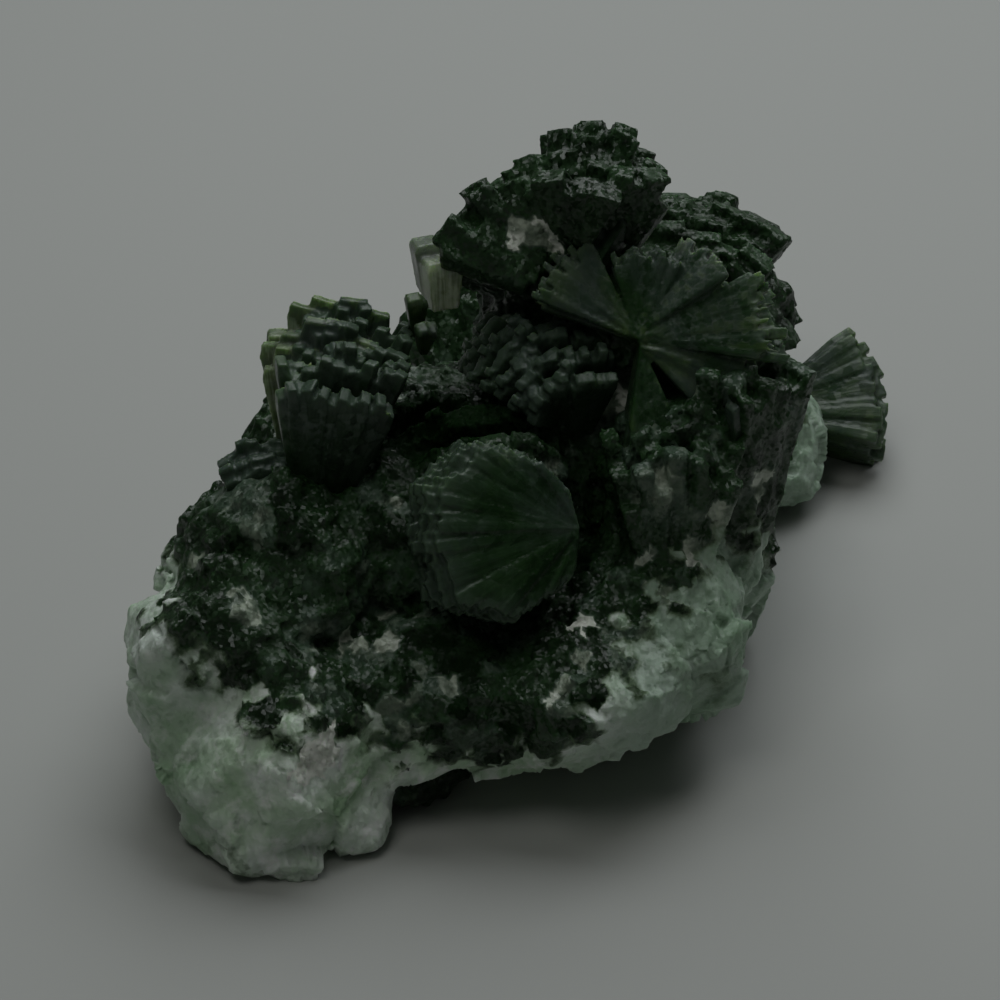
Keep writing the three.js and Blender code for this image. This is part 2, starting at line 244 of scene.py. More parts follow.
def triangles(mesh):
    mesh.calc_loop_triangles()
    found = np.empty(len(mesh.loop_triangles) * 3, np.int32)
    mesh.loop_triangles.foreach_get("vertices", found)
    return found.reshape(-1, 3)


def mark(mesh, name, values):
    """Keeps a number for each point of the mesh, for its material to read."""
    mesh.attributes.new(name, "FLOAT", "POINT").data.foreach_set("value", np.asarray(values, np.float32))


def unit(rows):
    return rows / np.linalg.norm(rows, axis=-1, keepdims=True)


def nearest(points, seeds):
    """For each point the number of the seed nearest to it."""
    tree = KDTree(len(seeds))
    for i, at in enumerate(seeds):
        tree.insert(at, i)
    tree.balance()
    return np.array([tree.find(p)[1] for p in points])


def spots(mesh, count, rng):
    """Random places on the mesh, spread evenly over its area, with the way out of it."""
    corner = places(mesh)[triangles(mesh)]
    cross = np.cross(corner[:, 1] - corner[:, 0], corner[:, 2] - corner[:, 0])
    area = np.linalg.norm(cross, axis=1)
    pick = rng.choice(len(area), count, p=area / area.sum())
    u, v = rng.random((2, count, 1))
    flip = (u + v) > 1
    u, v = np.where(flip, 1 - u, u), np.where(flip, 1 - v, v)
    at = corner[pick, 0] + u * (corner[pick, 1] - corner[pick, 0]) + v * (corner[pick, 2] - corner[pick, 0])
    return at, unit(cross[pick])


def fractured(mesh, pitch, slope, step, rng, share):
    """Breaks the surface up in flat tilted faces about pitch wide."""
    points = places(mesh)
    seeds, _ = spots(mesh, int(SURFACE / pitch**2), rng)
    wander = points + 0.2 * pitch * np.sin(points[:, [1, 2, 0]] * (2.3 / pitch))
    cell = nearest(wander, seeds)
    tilt = unit(rng.normal(size=(len(seeds), 3)))
    lift = rng.uniform(-step, step, len(seeds))
    rise = slope * np.einsum("ij,ij->i", points - seeds[cell], tilt[cell]) + lift[cell]
    put(mesh, points + outward(mesh) * (rise * share)[:, None])


# How pale the mass is: the dark crystals begin above a ragged line that climbs at both sides.
PALE_LINE = (
    (-30, 14.6), (-22, 14.8), (-19.5, 13.6), (-16, 11.8), (-12, 10.8), (-8, 8.2), (0, 6.2), (4, 7.2),
    (8, 12.0), (12, 14.6), (15, 16.6), (20, 16.0),
)


def paleness(points):
    """1 on the pale root, 0 on the dark mass, with a soft ragged edge between them."""
    line = np.interp(points[:, 0], *zip(*PALE_LINE))
    behind = np.clip((points[:, 1] - 16) / 8, 0, 1)
    line = line * (1 - behind) + 8.5 * behind
    under = np.linalg.norm((points - DARK_FOOT[0]) / DARK_FOOT[1], axis=1) < 1
    line = np.where(under, -4, line)
    x, y, z = points.T
    ragged = np.sin(x * 1.9 + 1.3 * np.sin(y * 1.3)) + 0.7 * np.sin(z * 3.1 + 2 * np.sin(x))
    return np.clip((line + 0.7 * ragged + 0.6 * np.sin(y * 2.7 + z) - z) / 4.4 + 0.5, 0, 1)


def crystal_shape(chamfer):
    """Points and faces of a bar, one wide, one long from its foot at 0, one thick, its end chamfered."""
    bm = bmesh.new()
    bmesh.ops.create_cube(bm, size=1)
    bmesh.ops.translate(bm, verts=bm.verts, vec=(0, 0.5, 0))
    if chamfer:
        kept = [e for e in bm.edges if min(v.co.y for v in e.verts) > 0.5]
        bmesh.ops.bevel(
            bm, geom=kept, offset=chamfer, offset_type="OFFSET", segments=1, profile=0.5, affect="EDGES",
            material=-1,
        )
    points = np.array([v.co for v in bm.verts])
    faces = [[v.index for v in f.verts] for f in bm.faces]
    bm.free()
    return points, faces


class Cluster:
    """Crystals to be joined in one mesh, each with its place, its directions, its size and its tone."""

    def __init__(self, chamfer):
        self.shape = crystal_shape(chamfer)
        self.rows = []

    def add(self, foot, along, face, size, tone, waist=1.0, slant=0.0):
        """One crystal: size is its width, length and thickness, waist how narrow its foot is."""
        self.rows.append((*foot, *along, *face, *size, tone, waist, slant))

    def mesh(self, name):
        points, faces = self.shape
        rows = np.array(self.rows, float)
        count = len(rows)
        foot, size, waist, slant = rows[:, 0:3], rows[:, 9:12], rows[:, 13], rows[:, 14]
        along = unit(rows[:, 3:6])
        face = rows[:, 6:9]
        face = unit(face - along * np.einsum("ij,ij->i", face, along)[:, None])
        side = np.cross(along, face)
        up = points[None, :, 1]
        local = points[None] * size[:, None]
        narrow = waist[:, None] + (1 - waist[:, None]) * up
        local[:, :, 0] *= narrow
        local[:, :, 2] *= (1 + narrow) / 2
        local[:, :, 1] *= 1 + slant[:, None] * points[None, :, 0] * (up > 0.5)
        placed = (
            foot[:, None]
            + local[:, :, 0:1] * side[:, None]
            + local[:, :, 1:2] * along[:, None]
            + local[:, :, 2:3] * face[:, None]
        )
        loops = np.concatenate([np.array(f) for f in faces])
        starts = np.cumsum([0] + [len(f) for f in faces[:-1]])
        shift = np.arange(count)[:, None]
        mesh = bpy.data.meshes.new(name)
        mesh.vertices.add(count * len(points))
        mesh.vertices.foreach_set("co", placed.astype(np.float32).ravel())
        mesh.loops.add(count * len(loops))
        mesh.loops.foreach_set("vertex_index", (loops[None] + shift * len(points)).ravel())
        mesh.polygons.add(count * len(faces))
        mesh.polygons.foreach_set("loop_start", (starts[None] + shift * len(loops)).ravel())
        mesh.update(calc_edges=True)
        return mesh


def turned(vector, axis, angle):
    return Matrix.Rotation(angle, 3, axis) @ vector


def fan(cluster, chance, root, along, face, length, spread, crystals, thick, plates=2, layers=2, flare=6,
        start=0.2, ragged=0.06, skew=0.0, twist=2.0, tone=(0.05, 0.45), side=(0, 0), outline=None, fine=0):
    """Crystals that spread from one root in plates which lie on each other like leaves. side paints them
    lighter towards one edge of the fan and from plate to plate: painted light, for the light through thin
    parts and the sheen on them.
    """
    a = Vector(along).normalized()
    f = Vector(face)
    f = (f - a * f.dot(a)).normalized()
    s = a.cross(f)
    half = math.radians(spread)
    depth = thick / (plates * layers)
    for plate in range(plates):
        back = plate / (plates - 1) - 0.5 if plates > 1 else 0.0
        lean = math.radians(back * 2 * flare)
        way0 = a * math.cos(lean) + f * math.sin(lean)
        flat = f * math.cos(lean) - a * math.sin(lean)
        middle = Vector(root) + flat * back * thick * (1 - 1 / plates)
        painted_plate_light = side[1] * back * 2
        for layer in range(layers):
            lift = (layer - (layers - 1) / 2) * depth
            shorter = 1 - (0.07 * layer / (layers - 1) if layers > 1 else 0)
            for i in range(crystals):
                across = (2 * (i + 0.5) + chance.between(-0.35, 0.35)) / crystals - 1
                turn = half * across
                way = way0 * math.cos(turn) + s * math.sin(turn)
                reach = length * shorter * (1 + skew * across + chance.between(-ragged, ragged * 0.5))
                if outline:
                    reach *= np.interp(across, *zip(*outline))
                facing = turned(flat, way, math.radians(chance.between(-twist, twist)))
                foot = middle + way * reach * start + facing * (lift + chance.between(-0.2, 0.2) * depth)
                width = 2 * reach * math.sin(half / crystals) * chance.between(1.3, 1.7)
                size = (width, reach * (1 - start), depth * chance.between(1.05, 1.3))
                shade = chance.between(*tone) + painted_plate_light + side[0] * across
                cluster.add(foot, way, facing, size, shade, start, chance.between(-0.04, 0.04))
        for i in range(fine):
            across = chance.between(-1, 1)
            turn = half * across
            way = way0 * math.cos(turn) + s * math.sin(turn)
            reach = length * (1 + skew * across) * chance.between(0.8, 0.98)
            if outline:
                reach *= np.interp(across, *zip(*outline))
            begin = chance.between(start, 0.75)
            front = 1 if i % 3 else -1
            facing = turned(flat * front, way, math.radians(chance.between(-twist, twist)))
            foot = middle + way * reach * begin + facing * (thick / plates / 2)
            size = (length * chance.between(0.02, 0.05), reach * (1 - begin), chance.between(0.12, 0.3))
            shade = chance.between(*tone) + painted_plate_light + side[0] * across
            cluster.add(foot, way, facing, size, shade, 0.5, chance.between(-0.2, 0.2))


class Paint:
    """A material under the brush: adds nodes and joins them."""

    def __init__(self, name):
        self.material = bpy.data.materials.new(name)
        self.material.use_nodes = True
        self.nodes = self.material.node_tree.nodes
        self.links = self.material.node_tree.links
        self.shader = self.nodes["Principled BSDF"]

    def set(self, node, key, value):
        if isinstance(value, bpy.types.NodeSocket):
            self.links.new(value, node.inputs[key])
        elif isinstance(value, tuple) and len(value) == 3 and len(node.inputs[key].default_value) == 4:
            node.inputs[key].default_value = (*value, 1)
        else:
            node.inputs[key].default_value = value

    def add(self, kind, inputs=None, **settings):
        node = self.nodes.new("ShaderNode" + kind)
        for key, value in settings.items():
            setattr(node, key, value)
        for key, value in (inputs or {}).items():
            self.set(node, key, value)
        return node

    def mark(self, name, output="Fac"):
        return self.add("Attribute", attribute_name=name).outputs[output]

    def here(self):
        return self.add("TexCoord").outputs["Object"]

    def noise(self, where, scale, detail=3.0, rough=0.55, warp=0.0):
        inputs = {"Vector": where, "Scale": scale, "Detail": detail, "Roughness": rough, "Distortion": warp}
        return self.add("TexNoise", inputs).outputs["Fac"]

    def ramp(self, value, stops):
        node = self.add("ValToRGB", {"Fac": value})
        marks = node.color_ramp.elements
        while len(marks) < len(stops):
            marks.new(0.5)
        for element, (at, color) in zip(marks, stops):
            element.position = at
            element.color = (*color, 1)
        return node.outputs["Color"]

    def mix(self, share, low, high):
        node = self.add("Mix", {0: share}, data_type="RGBA", blend_type="MIX")
        self.set(node, 6, low)
        self.set(node, 7, high)
        return node.outputs[2]

    def math(self, operation, a, b):
        return self.add("Math", {0: a, 1: b}, operation=operation).outputs[0]

    def spread(self, value, low, high, to_low=0.0, to_high=1.0):
        inputs = {"Value": value, "From Min": low, "From Max": high, "To Min": to_low, "To Max": to_high}
        return self.add("MapRange", inputs).outputs["Result"]

    def relief(self, height, distance, strength=1.0, under=None):
        inputs = {"Height": height, "Distance": distance, "Strength": strength}
        if under is not None:
            inputs["Normal"] = under
        return self.add("Bump", inputs).outputs["Normal"]

    def facets(self, where, scale, tilt, under=None):
        """Turns each small cell of the surface its own way, as the faces of fine crystals lie."""
        cell = self.add("TexVoronoi", {"Vector": where, "Scale": scale}).outputs["Color"]
        way = self.add("VectorMath", {0: cell, 1: (0.5, 0.5, 0.5)}, operation="SUBTRACT").outputs[0]
        way = self.add("VectorMath", {0: way, "Scale": tilt}, operation="SCALE").outputs[0]
        facing = under or self.add("NewGeometry").outputs["Normal"]
        facing = self.add("VectorMath", {0: facing, 1: way}, operation="ADD").outputs[0]
        return self.add("VectorMath", {0: facing}, operation="NORMALIZE").outputs[0]

    def finish(self, **sockets):
        for key, value in sockets.items():
            self.set(self.shader, key.replace("_", " "), value)
        return self.material


# Colours of one crystal by its tone: bottle green so deep that it is nearly black, green, olive, and the
# pale yellow green of thin clear ones.
TONES = (
    (0.0, (0.006, 0.018, 0.005)),
    (0.4, (0.018, 0.050, 0.015)),
    (0.62, (0.050, 0.084, 0.054)),
    (0.82, (0.13, 0.17, 0.12)),
    (1.0, (0.42, 0.48, 0.38)),
)


PALE_TONES = ((0.34, (0.36, 0.54, 0.33)), (0.5, (0.54, 0.67, 0.52)), (0.64, (0.78, 0.85, 0.79)))


def mass_material():
    """White to pale green mineral with a sugary break, going over into the dark green mass above it."""
    paint = Paint("mass")
    here = paint.here()
    cloud = paint.noise(here, 190, 3, 0.55, 0.6)
    mottle = paint.noise(here, 620, 4, 0.6, 0.3)
    grain = paint.noise(here, 2100, 4, 0.65)
    pale = paint.ramp(cloud, PALE_TONES)
    pale = paint.mix(paint.spread(mottle, 0.52, 0.7, 0, 0.8), pale, (0.86, 0.88, 0.85))
    tone = paint.math("ADD", paint.mark("tone"), paint.spread(mottle, 0.3, 0.7, -0.16, 0.16))
    dark = paint.ramp(tone, TONES)
    share = paint.math("ADD", paint.mark("pale"), paint.spread(mottle, 0.3, 0.7, -0.16, 0.16))
    middle = paint.mix(paint.spread(share, 0.3, 0.5), dark, (0.12, 0.18, 0.10))
    pale = paint.mix(paint.mark("clear"), pale, (0.27, 0.38, 0.28))
    color = paint.mix(paint.spread(share, 0.46, 0.7), middle, pale)
    # Tone above 0.9 turns near-white: the white spots of the mineral, and also the painted glints set in
    # PATCHES.
    color = paint.mix(paint.spread(paint.mark("tone"), 0.9, 1.1, 0, 0.8), color, (0.88, 0.90, 0.82))
    relief = paint.facets(here, 3800.0, paint.spread(share, 0.3, 0.8, 0.9, 0.5))
    relief = paint.facets(here, 1500.0, 0.35, relief)
    relief = paint.relief(grain, 0.00006, 0.5, relief)
    rough_dark = paint.spread(cloud, 0.35, 0.65, 0.32, 0.52)
    rough = paint.math("MAXIMUM", rough_dark, paint.spread(share, 0.4, 0.9, 0.2, 0.45))
    return paint.finish(
        Base_Color=color,
        Roughness=rough,
        Normal=relief,
        IOR=1.5,
        Specular_IOR_Level=paint.spread(paint.mark("tone"), -0.15, 0.1, 0.04, 0.5),
        Subsurface_Weight=paint.spread(share, 0.3, 0.8, 0.2, 0.45),
        Subsurface_Radius=(0.8, 1.0, 0.75),
        Subsurface_Scale=0.0012,
    )


def grown(name, mesh, material):
    """The finished piece: its mesh is carried to the part's frame and kept inside the part's box."""
    mesh.transform(TO_ROW)
    low, high = (np.array(corner) for corner in cad_box)
    put(mesh, np.clip(places(mesh), low + BOX_MARGIN, high - BOX_MARGIN))
    mesh.polygons.foreach_set("use_smooth", [True] * len(mesh.polygons))
    mesh.materials.clear()
    mesh.materials.append(material)
    mesh.update()
    piece = bpy.data.objects.new(name, mesh)
    bpy.context.scene.collection.objects.link(piece)
    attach(piece, "root")
    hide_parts("prehnite")


rng = np.random.default_rng(5)
chance = Chance(20)
lumps = [lump(chance, centre, half) for centre, half in ROCK]
lumps += [lump(Chance(seed), centre, half) for seed, centre, half in LATE_ROCK]
body = changed(merged(*lumps), "REMESH", mode="VOXEL", voxel_size=ROCK_GRID)
cave = bpy.data.objects.new("cave", lump(chance, *CAVE))
bpy.context.scene.collection.objects.link(cave)
body = changed(body, "BOOLEAN", operation="DIFFERENCE", object=cave)
bpy.data.objects.remove(cave)

# Small crystals all over the dark mass, in books of plates that lean the same way, and broken plates and
# splinters over the pale root.
GRAINS = 7500
at, out = spots(body, GRAINS, rng)
pale_here = paleness(at)
books, _ = spots(body, BOOKS, rng)
book_of = nearest(at, books)
book_lean = rng.normal(scale=0.38, size=(len(books), 3))
book_face = rng.normal(size=(len(books), 3))
book_tone = 0.62 * rng.random(len(books)) ** 1.4
book_size = rng.uniform(0.6, 1.6, len(books))
small = Cluster(chamfer=0)
grain_at = []
grain_tone = []
for i, book in enumerate(book_of):
    if pale_here[i] < 0.55:
        along = unit(out[i] + book_lean[book] + rng.normal(scale=0.07, size=3))
        face = book_face[book] + 0.07 * rng.normal(size=3)
        size = book_size[book] * rng.uniform(0.8, 1.2, 3) * (1.0, 2.2, 0.62)
        rise = rng.uniform(0.05, 0.4) * book_size[book]
    else:
        if i % PALE_SPLINTERS:
            continue
        along = unit(out[i] + rng.normal(scale=0.3, size=3))
        face = rng.normal(size=3)
        size = rng.uniform(0.7, 1.6) * rng.uniform(0.7, 1.3, 3) * (1.0, 1.2, 0.8)
        rise = rng.uniform(-0.3, 0.06)
    foot = at[i] + along * (rise - size[1])
    tone = book_tone[book] + rng.normal(scale=0.08) + (0.3 if rng.random() < 0.05 else 0)
    small.add(foot, along, face, size, tone)
    grain_at.append(foot + along * size[1])
    grain_tone.append(tone)

# Chunky crystals of the peak, the right wall, the knob and the back slope, fused with the mass.
CHUNKS = [
    # peak: a short fan at the left and a tall one in the middle, which lean back, and laths at its right
    ((4.0, 25.2, 28.4), (-0.66, 0.54, 0.53), (-0.15, -0.68, 0.72), dict(
         length=9.8, spread=26, crystals=6, thick=5.6, plates=3, flare=10, start=0.3, ragged=0.16,
         twist=24)),
    ((4.0, 25.2, 28.4), (0.06, 0.72, 0.7), (0.05, -0.7, 0.72), dict(
         length=12.5, spread=20, crystals=7, thick=5.0, plates=3, flare=8, start=0.3, ragged=0.12,
         skew=0.04, twist=26, outline=((-1, 0.84), (-0.3, 0.97), (0.3, 1.0), (1, 1.0)))),
    ((4.2, 25.0, 28.0), (0.4, 0.64, 0.64), (-0.3, -0.7, 0.7), dict(
         length=11.4, spread=11, crystals=5, thick=4.2, plates=2, flare=5, start=0.3, twist=14)),
    ((5.4, 27.6, 31.4), (-0.05, 0.3, 0.95), (-0.3, -0.8, 0.5), dict(
         length=6.4, spread=36, crystals=6, thick=5.0, plates=3, layers=1, flare=16, start=0.3,
         ragged=0.3, twist=30)),
    ((7.6, 28.0, 30.8), (0.1, 0.36, 0.93), (0.3, -0.8, 0.5), dict(
         length=7.2, spread=24, crystals=5, thick=4.6, plates=3, layers=1, flare=16, start=0.3,
         ragged=0.3, twist=30)),
    # upright columns of the right wall
    ((11.4, 14.4, 8.0), (0.02, 0.1, 1), (0.2, -1, 0.1), dict(
         length=15.4, spread=17, crystals=11, thick=4.0, plates=1, layers=3, start=0.25, ragged=0.2,
         twist=20, tone=(0.2, 0.72))),
    ((16.2, 20.0, 8.6), (0.06, 0.04, 1), (0.75, -0.7, 0.1), dict(
         length=18.0, spread=12, crystals=10, thick=4.0, plates=1, layers=3, start=0.3, ragged=0.14,
         twist=20, tone=(0.15, 0.66))),
    # knob at the far end
    ((13.6, 47.6, 10.4), (-0.06, 0.3, 1), (-0.3, -1, 0.3), dict(
         length=11.4, spread=40, crystals=9, thick=6.4, plates=3, flare=16, twist=14)),
    ((16.0, 47.4, 9.6), (0.6, 0.1, 0.9), (0, -1, 0.4), dict(
         length=6.8, spread=30, crystals=6, thick=5.0, plates=2, flare=12, twist=14)),
    # ragged crest across the valley
    ((-0.8, 19.6, 16.6), (-0.06, -0.2, 1), (0, -1, 0.3), dict(
         length=7.2, spread=56, crystals=18, thick=3.0, plates=2, flare=8, ragged=0.12, twist=12)),
    # back slope and right side
    ((16.0, 27.0, 9.0), (0.08, 0.25, 1), (1, -0.2, -0.2), dict(
         length=12.0, spread=34, crystals=12, thick=3.6, plates=2, flare=9)),
    ((-9.0, 26.6, 12.6), (-0.5, 0.6, 0.66), (-0.5, 0.3, 0.8), dict(
         length=9.8, spread=44, crystals=12, thick=4.6, plates=3, flare=5)),
    ((0.6, 35.4, 14.0), (-0.3, 0.7, 0.6), (-0.4, 0.6, 0.8), dict(
         length=9.4, spread=46, crystals=12, thick=4.6, plates=3, flare=6)),
    ((8.6, 40.6, 15.0), (0.1, 0.2, 1), (-0.3, 1, 0.3), dict(
         length=7.2, spread=46, crystals=10, thick=4.6, plates=2, flare=12)),
    ((-16.6, 18.0, 8.4), (-0.7, 0.66, 0.4), (-0.5, 0.2, 0.8), dict(
         length=7.4, spread=42, crystals=9, thick=3.8, plates=2, flare=12)),
]
before = len(small.rows)
for root, along, face, sizes in CHUNKS:
    fan(small, chance, root, along, face, **sizes)
for row in small.rows[before:]:
    foot, along = np.array(row[0:3]), unit(np.array(row[3:6]))
    for share in (0.35, 0.7, 1.0):
        grain_at.append(foot + along * row[10] * share)
        grain_tone.append(row[12])

# Paler grains that stand out of the dark mass, and a few painted glints, a painted sheen and a painted
# shade, each marked: place, half sizes, tone.
PATCHES = [
    ((-12.1, 0.2, 9.6), (1.6, 2.0, 1.4), 1.1),  # cream-coloured spot on the lobe
    ((-16.8, 7.0, 16.8), (0.9, 1.2, 1.2), 0.8),
    ((-15.8, 11.6, 19.2), (1.0, 1.5, 1.3), 0.72),
    ((-20.1, 13.1, 16.0), (0.7, 1.0, 0.9), 0.8),
    ((-13.2, 7.3, 13.7), (1.1, 1.4, 1.0), 0.66),
    ((-10.0, 8.5, 12.8), (0.7, 1.0, 0.9), 0.84),
    ((-7.3, 3.8, 9.7), (1.3, 1.4, 1.2), 0.7),
    ((-4.6, 5.0, 12.1), (1.2, 1.4, 0.8), 0.76),
    ((0.0, 3.6, 12.4), (1.5, 1.3, 0.9), 0.8),
    ((4.0, 4.0, 11.2), (1.0, 1.3, 1.0), 0.84),
    ((-1.3, 3.3, 8.4), (1.4, 1.2, 1.0), 0.62),
    ((9.3, 7.3, 13.7), (2.0, 2.0, 1.9), 0.6),
    # painted glint
    ((5.5, 9.0, 14.1), (0.5, 1.0, 1.5), 1.1),
    ((13.4, 13.0, 16.1), (0.5, 1.2, 1.4), 0.88),
    ((12.7, 14.1, 17.0), (0.4, 1.2, 0.9), 0.8),
    ((14.7, 14.3, 20.1), (0.5, 1.3, 1.8), 0.82),
    ((11.0, 13.8, 22.1), (0.5, 1.2, 1.0), 0.76),
    ((10.0, 13.8, 17.2), (0.4, 1.2, 1.4), 0.86),
    ((17.6, 18.7, 18.7), (0.4, 1.2, 2.0), 0.88),
    ((6.1, 22.8, 23.7), (1.3, 1.4, 0.9), 0.98),
    ((7.5, 22.2, 22.4), (1.5, 1.4, 0.7), 0.94),
    ((2.2, 25.9, 34.0), (1.6, 1.9, 0.8), 0.98),  # white patch on the peak
    ((-2.0, 27.6, 29.9), (1.2, 1.6, 1.4), 0.7),
    ((6.7, 13.6, 20.6), (1.0, 1.2, 0.9), 0.72),
    ((10.7, 10.6, 14.6), (0.8, 1.2, 0.8), 0.82),
    # painted sheen on top of the left mound
    ((-17.4, 14.9, 20.0), (2.6, 2.2, 1.3), 0.64),
    ((-12.6, 9.4, 14.8), (1.6, 1.6, 1.2), 0.6),
    # painted glint
    ((1.5, 16.8, 22.8), (0.5, 0.6, 0.3), 0.95),
    ((3.0, 13.2, 22.0), (1.2, 0.8, 0.6), 0.8),
    ((4.4, 16.6, 20.6), (1.6, 1.2, 1.6), 0.66),
    ((5.6, 6.3, 12.4), (0.5, 1.2, 0.8), 1.0),
    ((6.8, 22.4, 22.8), (1.2, 1.2, 0.6), 0.72),
    ((-3.0, 21.5, 22.0), (4.4, 4.2, 3.0), -0.3),  # painted shade: the hollow behind the crest is made darker than its crystals
]

mass = changed(merged(body, small.mesh("small")), "REMESH", mode="VOXEL", voxel_size=MASS_GRID)
broken = 0.3 + 0.7 * paleness(places(mass))
for pitch, slope, step in FRACTURE_FACES:
    fractured(mass, pitch, slope, step, rng, broken)
mass = changed(mass, "DECIMATE", ratio=min(1.0, MASS_TRIANGLES / (2 * len(mass.polygons))))
mass_points = places(mass)
grain_at, grain_tone = np.array(grain_at), np.array(grain_tone)
for at, radii, tone in PATCHES:
    apart = np.linalg.norm((grain_at - at) / (1.2 * np.array(radii)), axis=1)
    grain_tone = np.where(apart < 1, tone + 0.12 * np.sin(9 * apart), grain_tone)
mass_grain = nearest(mass_points + 0.08 * np.sin(7 * mass_points[:, [2, 0, 1]]), grain_at)
mass_pale = paleness(mass_points)
mass_pale = np.clip(mass_pale + (0.618 * mass_grain % 1 - 0.5) * np.clip(3 * mass_pale, 0, 0.75), 0, 1)
mark(mass, "pale", mass_pale)
mass_x = mass_points[:, 0]
mark(mass, "clear", 0.8 * np.clip((mass_x - 4) / 6, 0, 1) + 0.35 * np.clip((-18 - mass_x) / 2, 0, 1))
mark(mass, "tone", grain_tone[mass_grain])
mass_paint = mass_material()


def share_of(mesh, wanted):
    """The part of the mesh whose faces are wanted."""
    bm = bmesh.new()
    bm.from_mesh(mesh)
    bm.faces.ensure_lookup_table()
    bmesh.ops.delete(bm, geom=[f for f in bm.faces if not wanted[f.index]], context="FACES")
    part = bpy.data.meshes.new("share")
    bm.to_mesh(part)
    bm.free()
    return part


first = np.array([p.vertices[0] for p in mass.polygons])
is_pale = mass_pale[first] > 0.5
for name, wanted, slot in (("pale_root", is_pale, "pale_root"), ("dark_mass", ~is_pale, "green_crystal")):
    share = share_of(mass, wanted)
    grown(name, share, mass_paint)

# The left barrel. A sheaf of stout crystals side by side like staves, grown up from the mass, with blunt
# stepped ends; its back and left side are thinner and clearer, olive where the light comes through.
SKIN_GRID = 0.13
END_CHAMFER = 0.12
GRAIN_APART = np.array([0.37, 1.31, 0.73])  # parts the lines of one crystal from the next
# Its colours by tone, clearer than those of the mass.
CLEAR_TONES = (
    (0.0, (0.005, 0.016, 0.004)),
    (0.4, (0.016, 0.048, 0.012)),
    (0.62, (0.048, 0.090, 0.026)),
    (0.82, (0.125, 0.180, 0.055)),
    (1.0, (0.46, 0.53, 0.38)),
)


def fused(cluster, name):
    """The crystals grown into one another in one skin, marked by the crystal nearest to each place."""
    rows = np.array(cluster.rows, float)
    mesh = changed(cluster.mesh(name), "REMESH", mode="VOXEL", voxel_size=SKIN_GRID)
    along = unit(rows[:, 3:6])
    face = unit(rows[:, 6:9] - along * np.einsum("ij,ij->i", rows[:, 6:9], along)[:, None])
    shares = np.linspace(0.1, 1, 6)
    axis = rows[:, None, 0:3] + along[:, None] * rows[:, None, 10:11] * shares[:, None]
    points = places(mesh)
    crystal = nearest(points, axis.reshape(-1, 3)) // len(shares)
    apart = points - rows[crystal, 0:3]
    ways = np.cross(along, face), along, face
    local = np.stack([np.einsum("ij,ij->i", apart, way[crystal]) for way in ways], 1)
    mark(mesh, "tone", rows[crystal, 12])
    mark(mesh, "tip", np.clip(local[:, 1] / rows[crystal, 10], 0, 1))
    grain = local + crystal[:, None] * GRAIN_APART
    kept = mesh.attributes.new("grain", "FLOAT_VECTOR", "POINT")
    kept.data.foreach_set("vector", grain.astype(np.float32).ravel())
    return mesh


def crystal_material():
    """Glossy green crystal with fine lines along its length. Its thin ends are painted lighter and greyer,
    for the light through them and the sheen on them, and a painted grey-blue sheen lies over it in patches.
    """
    paint = Paint("crystal")
    here = paint.here()
    grain = paint.mark("grain", "Vector")
    lines = paint.add("Mapping", {"Vector": grain, "Scale": (6.0, 0.25, 6.0)}).outputs["Vector"]
    striae = paint.noise(lines, 1.0, 3, 0.6)
    cloud = paint.noise(here, 420, 3, 0.6, 0.4)
    dust = paint.noise(here, 1700, 4, 0.7)
    tone = paint.math("ADD", paint.mark("tone"), paint.spread(cloud, 0.3, 0.7, -0.14, 0.14))
    tone = paint.math("ADD", tone, paint.spread(striae, 0.3, 0.7, -0.08, 0.08))
    # Painted light: the last part of each crystal towards its end is made lighter and greyer, for the light
    # coming through the thin end and the sheen on it.
    end = paint.math("POWER", paint.mark("tip"), 9.0)
    tone = paint.math("ADD", tone, paint.math("MULTIPLY", end, 0.08))
    body = paint.ramp(tone, CLEAR_TONES)
    body = paint.mix(paint.math("MULTIPLY", end, 0.3), body, (0.13, 0.17, 0.14))
    body = paint.mix(paint.spread(dust, 0.62, 0.8, 0, 0.16), body, (0.14, 0.19, 0.14))
    # Painted sheen: a grey-blue haze in patches over the crystals, fullest on the lighter ones, for the
    # light they reflect.
    sheen_cloud = paint.noise(here, 160, 3, 0.6, 0.8)
    painted_sheen = paint.spread(sheen_cloud, 0.4, 0.62, 0, 0.7)
    painted_sheen = paint.math("MULTIPLY", painted_sheen, paint.spread(tone, 0.15, 0.4, 0.2, 1))
    body = paint.mix(painted_sheen, body, (0.044, 0.062, 0.054))
    relief = paint.facets(here, 1300.0, 0.16)
    relief = paint.relief(striae, 0.00006, 0.45, relief)
    relief = paint.relief(dust, 0.00003, 0.35, relief)
    return paint.finish(
        Base_Color=body,
        Roughness=paint.spread(cloud, 0.3, 0.7, 0.2, 0.42),
        Normal=relief,
        IOR=1.5,
        Specular_IOR_Level=paint.spread(tone, 0.1, 0.4, 0.14, 0.4),
        Subsurface_Weight=paint.spread(tone, 0.3, 0.7, 0.2, 0.8),
        Subsurface_Radius=(0.7, 1.0, 0.4),
        Subsurface_Scale=0.0015,
    )


def sheaf(name, fans):
    """A piece of fans grown together: each has its root, its way, the way it faces, and its sizes."""
    cluster = Cluster(END_CHAMFER)
    for root, along, face, sizes in fans:
        fan(cluster, chance, root, along, face, **sizes)
    grown(name, fused(cluster, name), crystal_paint)


